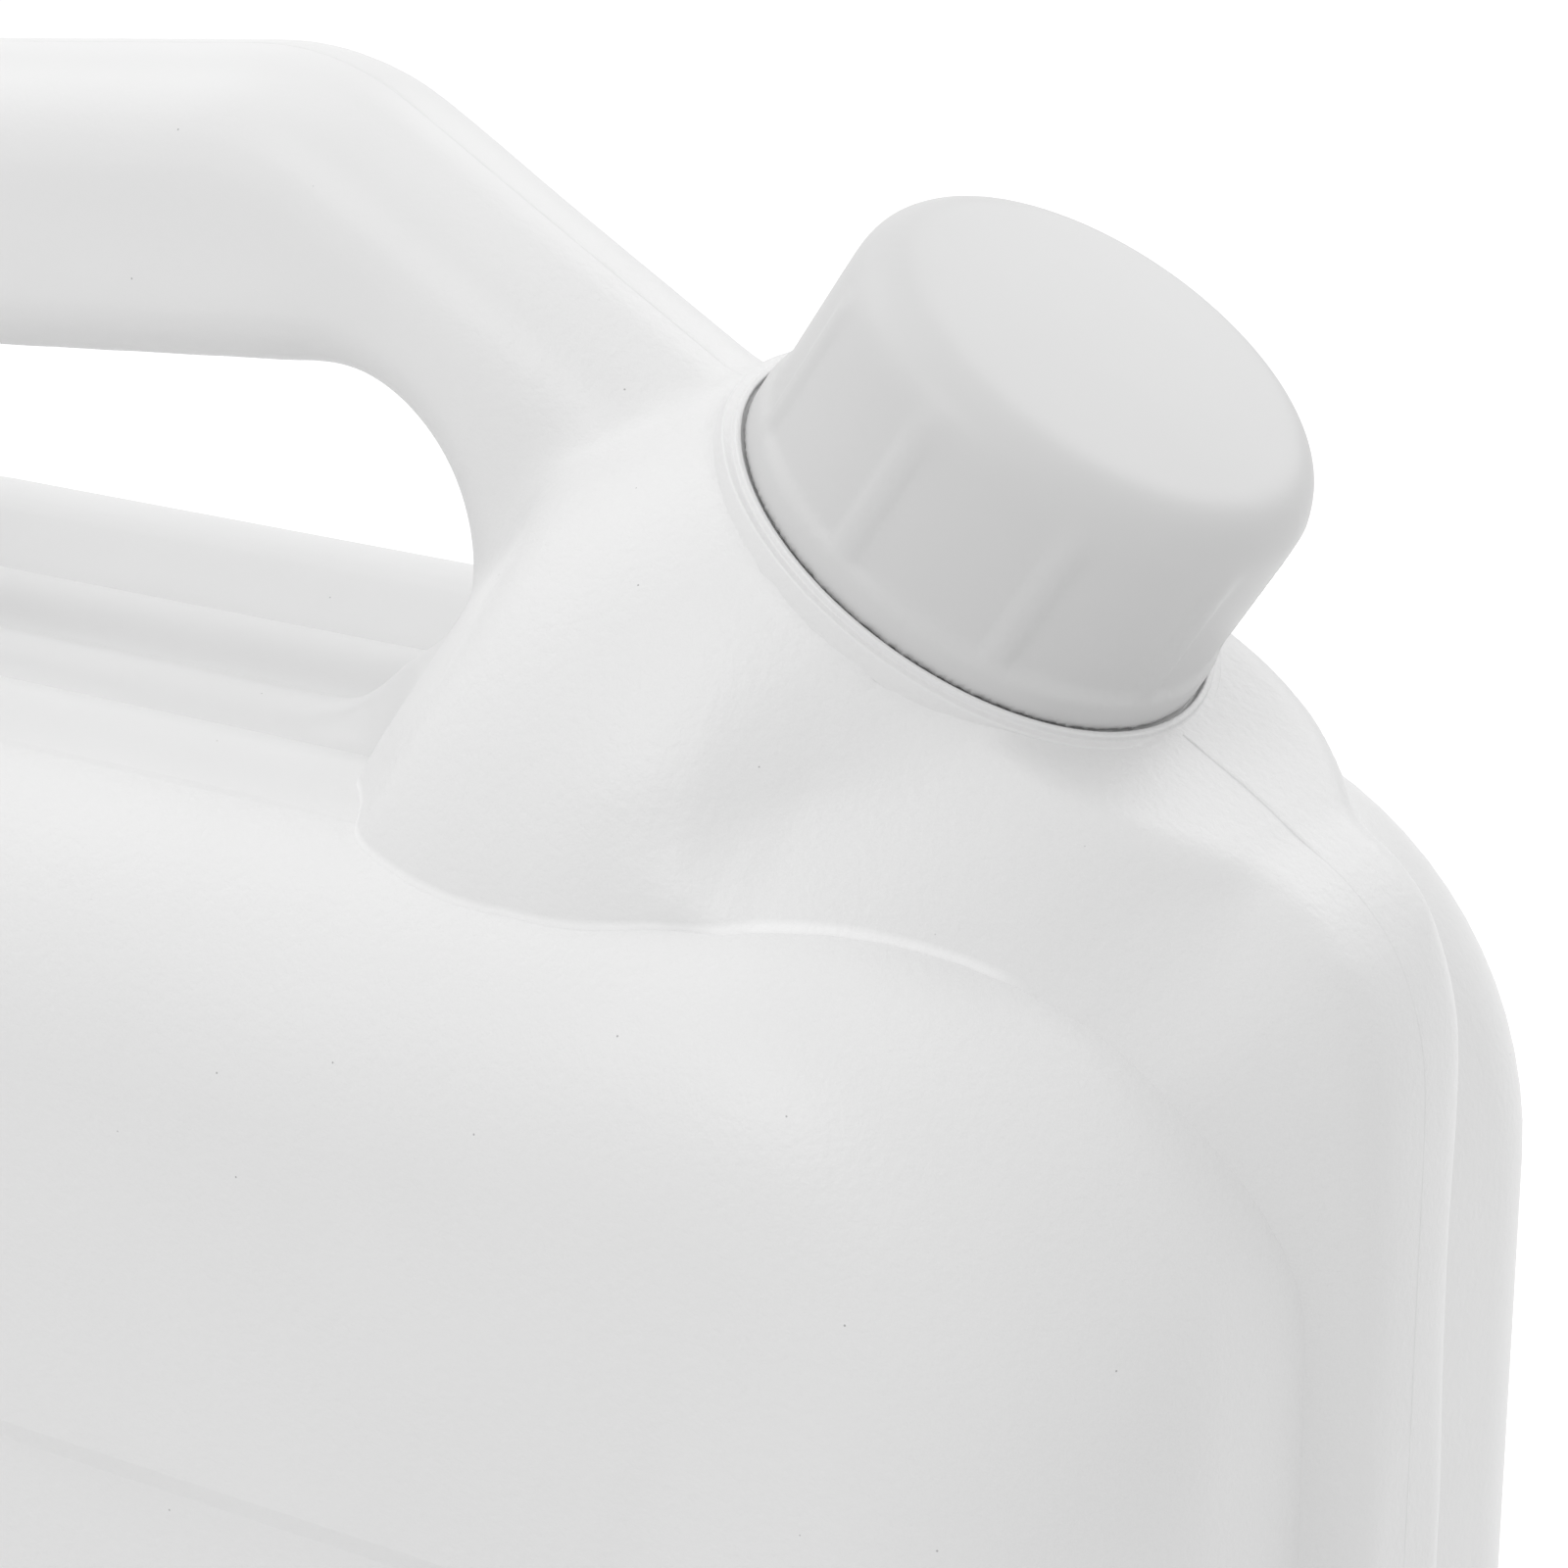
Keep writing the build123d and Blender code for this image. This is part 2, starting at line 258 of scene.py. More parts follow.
class Nodes:
    """The node tree of one material or of the world."""

    def __init__(self, owner):
        owner.use_nodes = True
        self.tree = owner.node_tree
        self.tree.nodes.clear()

    def add(self, kind, settings=None, inputs=None, output=0):
        """A node of that type, with its settings and then the values or links of its sockets."""
        node = self.tree.nodes.new(kind)
        for name, value in (settings or {}).items():
            setattr(node, name, value)
        for name, value in (inputs or {}).items():
            if isinstance(value, Value):
                self.tree.links.new(value.socket, node.inputs[name])
            else:
                node.inputs[name].default_value = value
        return Value(self, node.outputs[output]) if len(node.outputs) else None

    def place(self):
        """Object coordinates, in metres."""
        return self.add("ShaderNodeTexCoord", output="Object")

    def noise(self, place, size, detail=2.0, roughness=0.5):
        """Smooth noise with features of about that size in metres."""
        sockets = {"Vector": place, "Scale": 1 / size, "Detail": detail, "Roughness": roughness}
        return self.add("ShaderNodeTexNoise", inputs=sockets)

    def axis(self, place, name):
        """One coordinate of a place, in millimetres."""
        return self.add("ShaderNodeSeparateXYZ", inputs={"Vector": place}, output=name) * (1 / MM)

    def seen(self):
        """1 for rays of the camera and for those that mirror or pass through a surface."""
        kinds = ("Is Camera Ray", "Is Glossy Ray", "Is Transmission Ray")
        direct, glossy, passed = [self.add("ShaderNodeLightPath", output=kind) for kind in kinds]
        return direct.atleast(glossy).atleast(passed)

    def specks(self, place, spacing, radius):
        """1 in scattered round specks of that radius, 0 elsewhere."""
        sockets = {"Vector": place, "Scale": 1 / spacing}
        away = self.add("ShaderNodeTexVoronoi", {"feature": "F1"}, sockets)
        return away.rise(radius / spacing, SPECK_CORE * radius / spacing)

    def mixed(self, share, first, second):
        """A colour between two colours."""
        sockets = {"Factor": share, 6: first, 7: second}
        return self.add("ShaderNodeMix", {"data_type": "RGBA"}, sockets, output=2)

    def relief(self, height, depth, strength):
        """The direction of a surface that is raised by height, in units of depth."""
        sockets = {"Strength": strength, "Distance": depth, "Height": height}
        return self.add("ShaderNodeBump", inputs=sockets)

    def plastic(self, colour, roughness, relief):
        """Ends the material in a plastic surface."""
        sockets = {"Base Color": colour, "Roughness": roughness, "Specular IOR Level": SPECULAR}
        shader = self.add("ShaderNodeBsdfPrincipled", inputs={**sockets, "Normal": relief})
        self.add("ShaderNodeOutputMaterial", inputs={"Surface": shader})


# ---------------------------------------------------------------- materials

SPECULAR = 0.45

# The jug: two soft tones of white, dust specks, and the grain and waves of its surface in mm
JUG_WHITE = (0.80, 0.80, 0.80, 1)
JUG_WHITE_DEEP = (0.775, 0.775, 0.775, 1)
JUG_CLOUDS = 22 * MM
JUG_ROUGHNESS = 0.36
SPECK_GREY = (0.42, 0.42, 0.42, 1)
SPECK_SPACING = 6 * MM
SPECK_RADIUS = 0.13 * MM
SPECK_CORE = 0.6
GRAIN_SIZE = 1.1 * MM
GRAIN_HEIGHT = 0.10
PLAIN_GRAIN = 0.2
WAVE_SIZE = 14 * MM
WAVE_HEIGHT = 0.12

# The mould is blasted beyond this side and in front of this x, which stands out by a trace
BLASTED_SIDE = (37.6, 38.4)
BLASTED_FRONT = (14, 30)
BLASTED_STEP = 0.04

# Painted highlight along the crease, a whiter thin line: its middle and its fade outside the halves,
# and the side where it starts
CREASE_HIGHLIGHT_WHITE = (0.88, 0.88, 0.88, 1)
CREASE_HIGHLIGHT_MIDDLE = 0.2
CREASE_HIGHLIGHT_LINE = (0.5, 0.1)
CREASE_HIGHLIGHT_SIDE = (30, 32)

# The cap: two soft tones of white and a very fine grain
CAP_WHITE = (0.66, 0.66, 0.66, 1)
CAP_WHITE_DEEP = (0.645, 0.645, 0.645, 1)
CAP_CLOUDS = 9 * MM
CAP_ROUGHNESS = 0.42
CAP_GRAIN_SIZE = 0.8 * MM
CAP_GRAIN_DEPTH = 0.03 * MM
CAP_GRAIN_STRENGTH = 0.15


def jug_plastic(name, crease_highlight=False):
    """White polyethylene with the fine grain that the blasted mould leaves.

    A painted highlight can be added: a whiter thin line along the crease, at the border with the
    halves.
    """
    material = bpy.data.materials.new(name)
    nodes = Nodes(material)
    place = nodes.place()
    side = nodes.axis(place, "Y").size()
    colour = nodes.mixed(nodes.noise(place, JUG_CLOUDS), JUG_WHITE, JUG_WHITE_DEEP)
    colour = nodes.mixed(nodes.specks(place, SPECK_SPACING, SPECK_RADIUS), colour, SPECK_GREY)
    if crease_highlight:
        noted = {"attribute_name": "outside_halves"}
        outside = nodes.add("ShaderNodeAttribute", noted, output="Fac")
        # Painted highlight: a thin whiter line where the crown meets the halves, fading with the
        # distance outside them
        line = (outside - CREASE_HIGHLIGHT_MIDDLE).size().rise(*CREASE_HIGHLIGHT_LINE) * side.rise(*CREASE_HIGHLIGHT_SIDE)
        colour = nodes.mixed(line, colour, CREASE_HIGHLIGHT_WHITE)
    blasted = side.rise(*BLASTED_SIDE).atleast(nodes.axis(place, "X").rise(*BLASTED_FRONT))
    grain = nodes.noise(place, GRAIN_SIZE, detail=3.0, roughness=0.6)
    waves = nodes.noise(place, WAVE_SIZE, detail=1.0)
    grain_height = grain * (blasted * (1 - PLAIN_GRAIN) + PLAIN_GRAIN) * GRAIN_HEIGHT
    height = grain_height + blasted * BLASTED_STEP + waves * WAVE_HEIGHT
    nodes.plastic(colour, JUG_ROUGHNESS, nodes.relief(height, MM, 1.0))
    return material


def cap_plastic():
    """White moulded plastic, smoother than the jug."""
    material = bpy.data.materials.new("cap_plastic")
    nodes = Nodes(material)
    place = nodes.place()
    colour = nodes.mixed(nodes.noise(place, CAP_CLOUDS), CAP_WHITE, CAP_WHITE_DEEP)
    grain = nodes.noise(place, CAP_GRAIN_SIZE)
    nodes.plastic(colour, CAP_ROUGHNESS, nodes.relief(grain, CAP_GRAIN_DEPTH, CAP_GRAIN_STRENGTH))
    return material


# ---------------------------------------------------------------- meshes


def new_piece(name, work):
    """A new object with that bmesh as its mesh."""
    mesh = bpy.data.meshes.new(name)
    work.to_mesh(mesh)
    work.free()
    piece = bpy.data.objects.new(name, mesh)
    bpy.context.scene.collection.objects.link(piece)
    return piece


def finished(piece, material):
    """Shades a piece as one smooth surface and gives it its material."""
    for polygon in piece.data.polygons:
        polygon.use_smooth = True
    piece.data.materials.append(material)
    return piece


def merged_copy(node, name):
    """A new object with that CAD node's mesh, its loose triangles joined."""
    work = bmesh.new()
    work.from_mesh(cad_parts[node].data)
    bmesh.ops.remove_doubles(work, verts=work.verts, dist=SAME_PLACE)
    return new_piece(name, work)


def settle(piece):
    """Gives a piece the mesh that its modifiers make."""
    graph = bpy.context.evaluated_depsgraph_get()
    mesh = bpy.data.meshes.new_from_object(piece.evaluated_get(graph))
    piece.modifiers.clear()
    piece.data = mesh


def evened(piece, size):
    """Gives a piece an even mesh of small squares."""
    remesh = piece.modifiers.new("even", "REMESH")
    remesh.mode = "VOXEL"
    remesh.voxel_size = size
    settle(piece)


def ease(value, low, high):
    """0 below low, 1 above high, smooth between them; low may be the larger one."""
    share = min(1, max(0, (value - low) / (high - low)))
    return share * share * (3 - 2 * share)


def on_neck(point):
    """How far a point lies below the seat along the neck's axis, out from it and to the rear."""
    away = point - SEAT
    depth = -away.dot(NECK_AXIS)
    flat = away + NECK_AXIS * depth
    rear = -flat.dot(Vector((math.cos(NECK_TILT), 0, -math.sin(NECK_TILT))))
    return depth / MM, flat.length / MM, rear / MM


def blend_weight(point):
    """1 where handle, bell and the swell in front of it flow into each other."""
    x, height = point.x / MM, point.z / MM
    depth, out, rear = on_neck(point)
    handle = ease(out, *HANDLE_OUT) * ease(depth, *HANDLE_DEPTH) * ease(height, *HANDLE_HEIGHT)
    front = ease(rear, *FRONT_REAR) * ease(x, *FRONT_X) * ease(depth, *FRONT_DEPTH)
    return ease(depth, *BLEND_DEPTH) * max(handle, front)


def slope_weight(point):
    """1 on the slope in front of the cap, down to the upper part of the narrow side."""
    depth, _, rear = on_neck(point)
    return ease(depth, *SLOPE_DEPTH) * ease(rear, *SLOPE_REAR) * ease(point.z / MM, *SLOPE_HEIGHT)


def saddle_weight(point):
    """1 on the saddle under the handle and where it climbs the bell."""
    lengthways = ease(point.z / MM, *SADDLE_HEIGHT) * ease(point.x / MM, *SADDLE_X)
    return lengthways * ease(abs(point.y) / MM, *SADDLE_SIDE)


def corner_weight(point):
    """1 where the swell's rear corner and the bell's rear foot sink into their neighbours."""
    mirrored = Vector((point.x, abs(point.y), point.z))
    swell = ease((mirrored - SWELL_CORNER).length / MM, *SWELL_REACH)
    foot = ease((mirrored - FOOT_CORNER).length / MM, *FOOT_REACH)
    return max(swell, foot)


def weigh(piece, name, weight):
    """A vertex group that holds a weight worked out from each vertex's place."""
    group = piece.vertex_groups.new(name=name)
    for vertex in piece.data.vertices:
        share = weight(vertex.co)
        if share > LEAST_WEIGHT:
            group.add([vertex.index], share, "REPLACE")


def soften(piece, steps, group=""):
    """Smooths a piece's surface, everywhere or by a vertex group."""
    smooth = piece.modifiers.new("soften", "SMOOTH")
    smooth.factor = 0.5
    smooth.iterations = steps
    smooth.vertex_group = group


def fill_hollows(piece, steps, group, keep):
    """Smooths by a vertex group, in full where it fills a hollow, in part where it wears a crest."""
    before = [(vertex.co.copy(), vertex.normal.copy()) for vertex in piece.data.vertices]
    soften(piece, steps, group)
    settle(piece)
    for vertex, (place, normal) in zip(piece.data.vertices, before):
        if (vertex.co - place).dot(normal) < 0:
            vertex.co = place.lerp(vertex.co, keep)


def block_distance(point, front_corner=FRONT_CORNER):
    """How far a point lies outside the block of the two halves, in mm; less than 0 inside."""
    x, y, z = point / MM
    middle = BLOCK_TOP / 2
    corner = front_corner if x > 0 and z > middle else OTHER_CORNER
    along, up = abs(x) - BLOCK_END + corner, abs(z - middle) - middle + corner
    outline = min(max(along, up), 0) + math.hypot(max(along, 0), max(up, 0)) - corner
    side, out = outline + EDGE_ROUND, abs(y) - BLOCK_DEPTH + EDGE_ROUND
    return min(max(side, out), 0) + math.hypot(max(side, 0), max(out, 0)) - EDGE_ROUND


def block_normal(point):
    """The way out of the block at a point."""
    steps = (Vector((MM, 0, 0)), Vector((0, MM, 0)), Vector((0, 0, MM)))
    slopes = [block_distance(point + step) - block_distance(point - step) for step in steps]
    return Vector(slopes).normalized()


def on_halves(face):
    """True for a face of the two halves: their rounded block, label panels and base."""
    panel = all(abs(vertex.co.y) / MM > PANEL_BAND for vertex in face.verts)
    base = all(vertex.co.z / MM < BASE_BAND for vertex in face.verts)
    block = all(abs(block_distance(vertex.co)) < ON_BLOCK for vertex in face.verts)
    return panel or base or block


def parted(work):
    """The halves' faces, the vertices among them, and those on the crease that borders them."""
    halves = {face for face in work.faces if on_halves(face)}
    inside, crease = [], []
    for vertex in work.verts:
        kinds = {face in halves for face in vertex.link_faces}
        if len(kinds) == 2:
            crease.append(vertex)
        elif True in kinds:
            inside.append(vertex)
    return halves, inside, crease


def away_from(vertex, faces):
    """The way along those faces' plane that leaves them at a vertex on their border."""
    total = Vector()
    for edge in vertex.link_edges:
        own = [face for face in edge.link_faces if face in faces]
        if len(own) == 1 and len(edge.link_faces) == 2:
            line = (edge.verts[1].co - edge.verts[0].co).normalized()
            inward = own[0].calc_center_median() - vertex.co
            across = own[0].normal.cross(line)
            total -= across if across.dot(inward) > 0 else -across
    return total.normalized() if total.length > 0 else total


def bevelled(work, edges, radius, steps):
    """Rounds some edges of a bmesh."""
    bmesh.ops.bevel(
        work,
        geom=edges,
        offset=radius * MM,
        offset_type="OFFSET",
        segments=steps,
        profile=0.5,
        affect="EDGES",
        material=-1,
    )


def cutter(name, size, corner, depth, slope):
    """A shallow tray with rounded corners, its floor at -depth, its walls leaning out by slope."""
    work = bmesh.new()
    bmesh.ops.create_cube(work, size=1)
    bmesh.ops.scale(work, vec=Vector((size[0], size[1], 2 * depth)) * MM, verts=work.verts)
    ends = [(edge, edge.verts[0].co.z - edge.verts[1].co.z) for edge in work.edges]
    upright = [edge for edge, rise in ends if abs(rise) > depth * MM]
    bevelled(work, upright, corner, ROUND_STEPS)
    for vertex in work.verts:
        lean = slope * vertex.co.z
        flat = Vector((vertex.co.x / size[0], vertex.co.y / size[1], 0)) / MM * 2
        vertex.co += flat * lean
    return new_piece(name, work)


def cut(piece, tool):
    """Takes a tool's shape out of a piece."""
    boolean = piece.modifiers.new("cut", "BOOLEAN")
    boolean.operation = "DIFFERENCE"
    boolean.solver = "EXACT"
    boolean.object = tool
    settle(piece)
    bpy.data.objects.remove(tool)


def valley_tool():
    """The valley between the halves' crests, open towards the sky."""
    work = bmesh.new()
    half = [Vector((VALLEY_REACH[0], VALLEY_LIP[0], BLOCK_TOP + VALLEY_LIP[1])) * MM]
    for step in range(VALLEY_STEPS + 1):
        away = (VALLEY_HALF - VALLEY_INNER) * step / VALLEY_STEPS
        drop = away * away / (2 * VALLEY_RADIUS)
        half.append(Vector((VALLEY_REACH[0], VALLEY_HALF - away, BLOCK_TOP - drop)) * MM)
    other = [Vector((point.x, -point.y, point.z)) for point in reversed(half)]
    outline = [work.verts.new(point) for point in half + other]
    face = work.faces.new(outline)
    made = bmesh.ops.extrude_face_region(work, geom=[face])
    moved = [item for item in made["geom"] if isinstance(item, bmesh.types.BMVert)]
    length = VALLEY_REACH[1] - VALLEY_REACH[0]
    bmesh.ops.translate(work, vec=Vector((length, 0, 0)) * MM, verts=moved)
    bmesh.ops.recalc_face_normals(work, faces=work.faces)
    return new_piece("valley_tool", work)


def placed(tool, matrix):
    """Applies a placement to a tool's mesh."""
    tool.data.transform(matrix)
    return tool


def body_halves(material):
    """The two body halves as one rounded block, which runs on under spine, bell and handle."""
    work = bmesh.new()
    bmesh.ops.create_cube(work, size=1)
    size = Vector((2 * BLOCK_END, 2 * BLOCK_DEPTH, BLOCK_TOP)) * MM
    bmesh.ops.scale(work, vec=size, verts=work.verts)
    bmesh.ops.translate(work, vec=Vector((0, 0, BLOCK_TOP / 2)) * MM, verts=work.verts)
    across = [edge for edge in work.edges if edge.verts[0].co.y * edge.verts[1].co.y < 0]
    front = [edge for edge in across if edge.verts[0].co.x > 0 and edge.verts[0].co.z > MM]
    others = [edge for edge in across if edge not in front]
    bevelled(work, others, OTHER_CORNER, ROUND_STEPS)
    bevelled(work, front, FRONT_CORNER_SEEN, ROUND_STEPS)
    wide = [edge for edge in work.edges if edge.verts[0].co.y * edge.verts[1].co.y > 0]
    bevelled(work, wide, EDGE_ROUND, ROUND_STEPS)
    piece = new_piece("body_halves", work)
    for side in (-1, 1):
        tray = cutter("panel_tool", PANEL_SIZE, PANEL_CORNER, PANEL_DEPTH, PANEL_SLOPE)
        stand = Matrix.Rotation(-side * math.pi / 2, 4, "X")
        there = Matrix.Translation(Vector((0, side * BLOCK_DEPTH, PANEL_MIDDLE)) * MM)
        cut(piece, placed(tray, there @ stand))
    tray = cutter("hollow_tool", HOLLOW_SIZE, HOLLOW_CORNER, HOLLOW_DEPTH, 0.0)
    cut(piece, placed(tray, Matrix.Rotation(math.pi, 4, "X")))
    cut(piece, valley_tool())
    eased = piece.modifiers.new("eased", "BEVEL")
    eased.width = EDGE_EASE * MM
    eased.segments = EDGE_STEPS
    eased.limit_method = "ANGLE"
    eased.angle_limit = EDGE_ANGLE
    settle(piece)
    finished(piece, material)
    piece.data.set_sharp_from_angle(angle=SHARP_ANGLE)
    return piece


def rooted(piece):
    """Sinks the halves' faces of the CAD copy, and leads the other forms on into the halves."""
    work = bmesh.new()
    work.from_mesh(piece.data)
    work.normal_update()
    halves, inside, crease = parted(work)
    others = set(work.faces) - halves
    moves = []
    for vertex in crease:
        inward = -block_normal(vertex.co)
        along = away_from(vertex, others)
        moves.append((vertex, (along if along.dot(inward) > INWARD_ENOUGH else inward) * ROOT))
    for vertex in inside:
        moves.append((vertex, -block_normal(vertex.co) * ROOT))
    for vertex, move in moves:
        vertex.co += move
    work.to_mesh(piece.data)
    work.free()


def softened(piece):
    """Smooths the even mesh: all of it a little, saddle and corners, the slope, then the blends."""
    weigh(piece, "corner", corner_weight)
    weigh(piece, "saddle", saddle_weight)
    soften(piece, SOFT_STEPS)
    soften(piece, SADDLE_STEPS, "saddle")
    soften(piece, CORNER_STEPS, "corner")
    settle(piece)
    piece.vertex_groups.clear()
    weigh(piece, "slope", slope_weight)
    fill_hollows(piece, FILL_STEPS, "slope", FILL_KEEP)
    piece.vertex_groups.clear()
    weigh(piece, "blend", blend_weight)
    soften(piece, BLEND_STEPS, "blend")
    settle(piece)
    piece.vertex_groups.clear()


def trimmed(piece):
    """Takes off what the halves hide, fits the rest to them and notes how far outside it is."""
    work = bmesh.new()
    work.from_mesh(piece.data)
    buried = [vertex for vertex in work.verts if hidden_by_halves(vertex.co)]
    bmesh.ops.delete(work, geom=buried, context="VERTS")
    line = work.verts.layers.float.new("outside_halves")
    for vertex in work.verts:
        vertex.co = sunk_gutter(widened(vertex.co))
        vertex[line] = block_distance(vertex.co, FRONT_CORNER_SEEN)
    work.to_mesh(piece.data)
    work.free()


def crown(material):
    """Spine, saddle, bell and handle as one form with soft transitions, rooted in the halves."""
    piece = merged_copy("jug", "spine_bell_and_handle")
    rooted(piece)
    evened(piece, VOXEL)
    softened(piece)
    trimmed(piece)
    return finished(piece, material)


def along_outline(point):
    """How far round the halves' outline a point is, from above the middle to the narrow side."""
    x, z = point.x / MM, point.z / MM
    start, turn_height = BLOCK_END - FRONT_CORNER_SEEN, BLOCK_TOP - FRONT_CORNER_SEEN
    if x < start:
        return x
    if z < turn_height:
        return start + FRONT_CORNER_SEEN * math.pi / 2 + turn_height - z
    return start + FRONT_CORNER_SEEN * math.atan2(x - start, z - turn_height)


def widened(point):
    """A point of the spine, moved sideways so that the crease runs where the photograph has it."""
    if point.x < 0:
        return point
    near = ease(block_distance(point), *CREASE_FADE)
    factor = 1 + (between(CREASE_WIDTHS, along_outline(point)) - 1) * near
    return Vector((point.x, point.y * factor, point.z))


def sunk_gutter(point):
    """A point of the saddle's outer slopes, lowered so that they pass under the halves' crests."""
    beyond = max(0, abs(point.y) / MM - GUTTER)
    near = ease(point.x / MM, *GUTTER_X) * ease(point.z / MM, *GUTTER_HEIGHT)
    return Vector((point.x, point.y, point.z - GUTTER_DIVE * beyond * near * MM))


def hidden_by_halves(point):
    """True well inside the block, except in the valley, which is open to the sky."""
    half, bottom, end = OPEN_VALLEY
    open_above = abs(point.y) / MM <= half and point.z / MM >= bottom and point.x / MM <= end
    return not open_above and block_distance(point, FRONT_CORNER_SEEN) < -KEPT_ROOT


def neck_point(out, height):
    """A place in the middle plane, by its distance from the neck's axis and its height along it."""
    return SEAT + Matrix.Rotation(NECK_TILT, 4, "Y") @ (Vector((out, 0, height)) * MM)


def spun_ring(name, profile, material):
    """A ring round the neck, turned from a closed profile of distances and heights."""
    work = bmesh.new()
    corners = [work.verts.new(neck_point(out, height)) for out, height in profile]
    outline = [work.edges.new(pair) for pair in zip(corners, corners[1:] + corners[:1])]
    bmesh.ops.spin(
        work,
        geom=corners + outline,
        cent=SEAT,
        axis=NECK_AXIS,
        angle=math.tau,
        steps=RING_STEPS,
        use_merge=True,
    )
    bmesh.ops.remove_doubles(work, verts=work.verts, dist=SAME_PLACE)
    bmesh.ops.recalc_face_normals(work, faces=work.faces)
    return finished(new_piece(name, work), material)


def rounded(corners, radius, steps):
    """A closed outline with its corners rounded, corners given as pairs."""
    points = []
    neighbours = zip(corners[-1:] + corners[:-1], corners, corners[1:] + corners[:1])
    for before, corner, after in neighbours:
        here = Vector(corner)
        back = (Vector(before) - here).normalized()
        ahead = (Vector(after) - here).normalized()
        reach = radius / math.tan(back.angle(ahead) / 2)
        start, end = here + back * reach, here + ahead * reach
        for step in range(steps + 1):
            share = step / steps
            points.append(tuple(start.lerp(here, share).lerp(here.lerp(end, share), share)))
    return points


def split_along(work, side, dropped=0):
    """Cuts a bmesh at that side, and takes off what lies beyond it if dropped is -1 or 1."""
    bmesh.ops.bisect_plane(
        work,
        geom=work.verts[:] + work.edges[:] + work.faces[:],
        plane_co=Vector((0, side * MM, 0)),
        plane_no=Vector((0, dropped or 1, 0)),
        clear_outer=dropped != 0,
    )


def parting_line(shell, material):
    """The raised line on the shell's middle, slightly rippled, where the mould's halves meet."""
    work = bmesh.new()
    work.from_mesh(shell.data)
    left, *inner, right = [side for side, _ in PARTING_PROFILE]
    split_along(work, left, -1)
    split_along(work, right, 1)
    for side in inner:
        split_along(work, side)
    work.normal_update()
    spare = []
    for vertex in work.verts:
        strength = parting_lift(vertex.co)
        if strength <= 0:
            spare.append(vertex)
            continue
        height = between(PARTING_PROFILE, vertex.co.y / MM)
        ripple = noise.noise(vertex.co * RIPPLE_RATE)
        rise = height * strength * (1 + ripple) if height > 0 else height
        vertex.co += vertex.normal * rise * MM + Vector((0, 1, 0)) * ripple * SEAM_SWAY * strength
    bmesh.ops.delete(work, geom=spare, context="VERTS")
    return finished(new_piece("parting_line", work), material)


def between(pairs, place):
    """The value that goes with a place, straight between listed pairs of place and value."""
    for (left, low), (right, high) in zip(pairs, pairs[1:]):
        if place <= right:
            share = max(0, (place - left) / (right - left))
            return low + (high - low) * share
    return pairs[-1][1]


def parting_lift(point):
    """How strongly the parting line shows: most on the slope, faintly on handle and side."""
    depth, out, rear = on_neck(point)
    collar_out, collar_depth = SEAMLESS_COLLAR
    if out < collar_out and depth < collar_depth:
        return 0
    x, height = point.x / MM, point.z / MM
    slope = ease(rear, *SEAM_SLOPE_REAR) * ease(x, *SEAM_SLOPE_X) * ease(height, *SEAM_SLOPE_HEIGHT)
    side = SEAM_STRENGTH["side"] * ease(x, *SEAM_SIDE_X)
    handle = SEAM_STRENGTH["handle"] * ease(height, *SEAM_HANDLE_HEIGHT)
    base = SEAM_STRENGTH["base"] * ease(height, *SEAM_BASE_HEIGHT)
    return max(slope, side, handle, base, SEAM_STRENGTH["elsewhere"])


def screw_cap(material):
    """The cap with soft ribs and a soft top edge over a crisp rim."""
    piece = merged_copy("cap", "screw_cap")
    evened(piece, CAP_VOXEL)
    weigh(piece, "wall", lambda point: ease(-on_neck(point)[0], *CAP_WALL))
    weigh(piece, "top_edge", lambda point: ease(-on_neck(point)[0], *CAP_EDGE))
    soften(piece, CAP_STEPS, "wall")
    soften(piece, CAP_EDGE_STEPS, "top_edge")
    settle(piece)
    piece.vertex_groups.clear()
    return finished(piece, material)


# ---------------------------------------------------------------- stage


def floor():
    """A large pale floor, white to the eye, that keeps the shadow."""
    bpy.ops.mesh.primitive_plane_add(size=FLOOR_SIZE)
    plane = bpy.context.object
    plane.name = "floor"
    material = bpy.data.materials.new("floor_paper")
    nodes = Nodes(material)
    paper = nodes.add("ShaderNodeBsdfDiffuse", inputs={"Color": PAPER})
    strength = nodes.seen() * FLOOR_LIFT
    glow = nodes.add("ShaderNodeEmission", inputs={"Color": WHITE, "Strength": strength})
    both = nodes.add("ShaderNodeAddShader", inputs={0: paper, 1: glow})
    nodes.add("ShaderNodeOutputMaterial", inputs={"Surface": both})
    plane.data.materials.append(material)


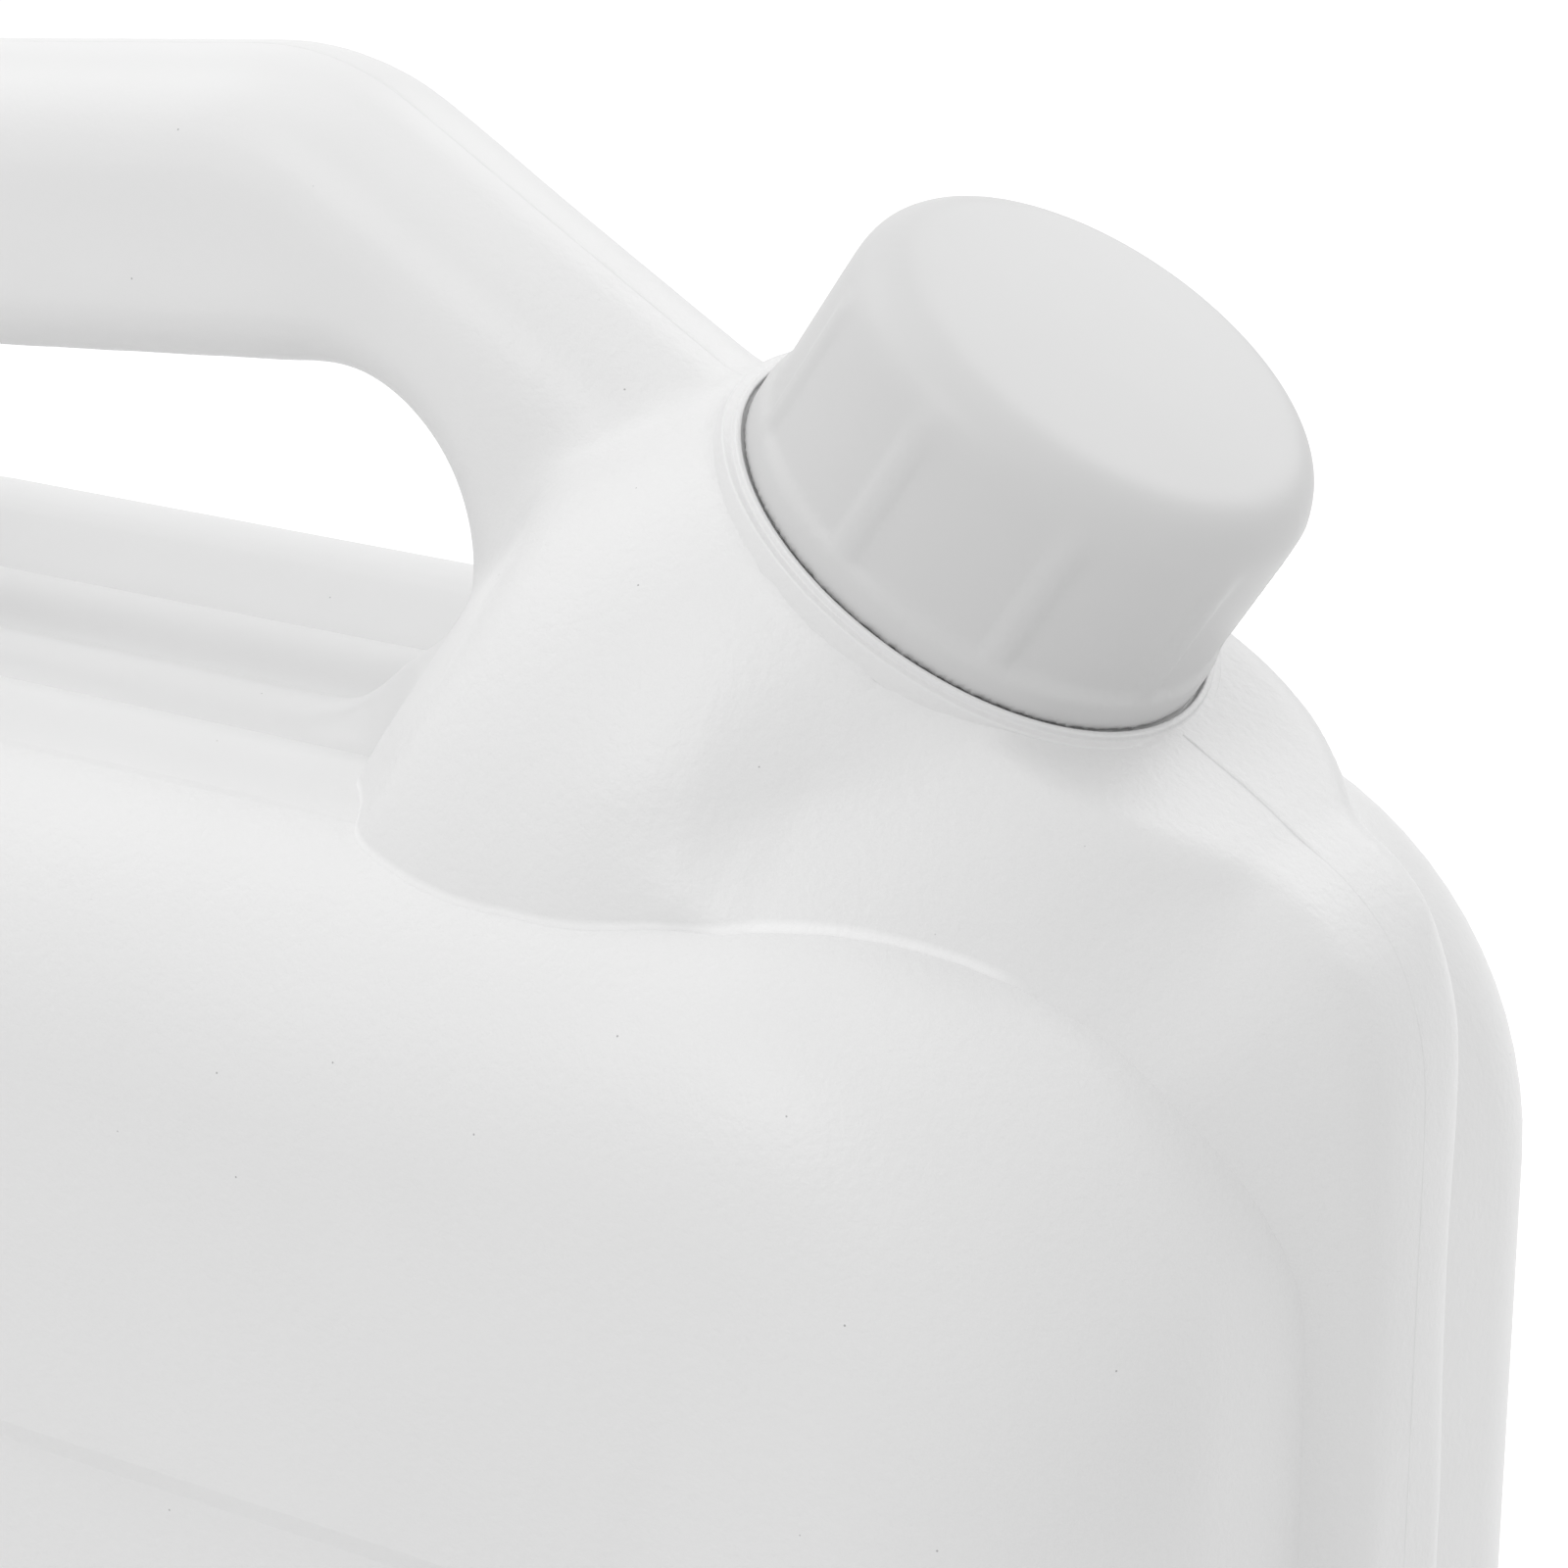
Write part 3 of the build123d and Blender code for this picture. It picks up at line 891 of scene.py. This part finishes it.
def studio_world():
    """White surroundings: of strength 1 to the eye, and a weaker plain light on the jug."""
    world = bpy.data.worlds.new("studio")
    bpy.context.scene.world = world
    nodes = Nodes(world)
    light, backdrop = [
        nodes.add("ShaderNodeBackground", inputs={"Color": WHITE, "Strength": strength})
        for strength in (WORLD_LIGHT, 1.0)
    ]
    both = nodes.add("ShaderNodeMixShader", inputs={0: nodes.seen(), 1: light, 2: backdrop})
    nodes.add("ShaderNodeOutputWorld", inputs={"Surface": both})


def softbox(name, azimuth, elevation, size, power):
    """A square soft lamp that faces the neck from that direction."""
    turn, rise = math.radians(azimuth), math.radians(elevation)
    flat = math.cos(rise)
    way = Vector((math.cos(turn) * flat, math.sin(turn) * flat, math.sin(rise)))
    data = bpy.data.lights.new(name, "AREA")
    data.shape = "SQUARE"
    data.size = size
    data.energy = power
    lamp = bpy.data.objects.new(name, data)
    bpy.context.scene.collection.objects.link(lamp)
    lamp.location = LAMP_TARGET + way * LAMP_DISTANCE
    lamp.rotation_euler = (-way).to_track_quat("-Z", "Y").to_euler()
    lamp.visible_camera = False


def camera():
    """The photograph's view: close in on neck, cap, handle and upper front corner."""
    data = bpy.data.cameras.new("camera")
    data.lens = LENS
    data.sensor_width = SENSOR
    data.clip_start, data.clip_end = CLIP
    eye = bpy.data.objects.new("camera", data)
    bpy.context.scene.collection.objects.link(eye)
    eye.location = CAMERA_PLACE
    eye.rotation_euler = (math.pi / 2 - CAMERA_ELEVATION, 0, CAMERA_AZIMUTH)
    bpy.context.scene.camera = eye


# ---------------------------------------------------------------- the scene

white = jug_plastic("jug_plastic")
halves = body_halves(white)
# The crown's material paints a highlight along its crease
upper = crown(jug_plastic("jug_plastic_crease_highlight", crease_highlight=True))
for piece in (halves, upper):
    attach(piece, "root")
    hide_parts("jug")

parting = parting_line(upper, white)
collar_outline = rounded(COLLAR_PROFILE, COLLAR_ROUND, COLLAR_ROUND_STEPS)
collar = spun_ring("collar_ring", collar_outline, white)
for piece in (parting, collar):
    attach(piece, "root")

cap = screw_cap(cap_plastic())
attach(cap, "root")
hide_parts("cap")

floor()
studio_world()
for values in SOFTBOXES:
    softbox(*values)
camera()
bpy.context.scene.view_settings.view_transform = "Standard"
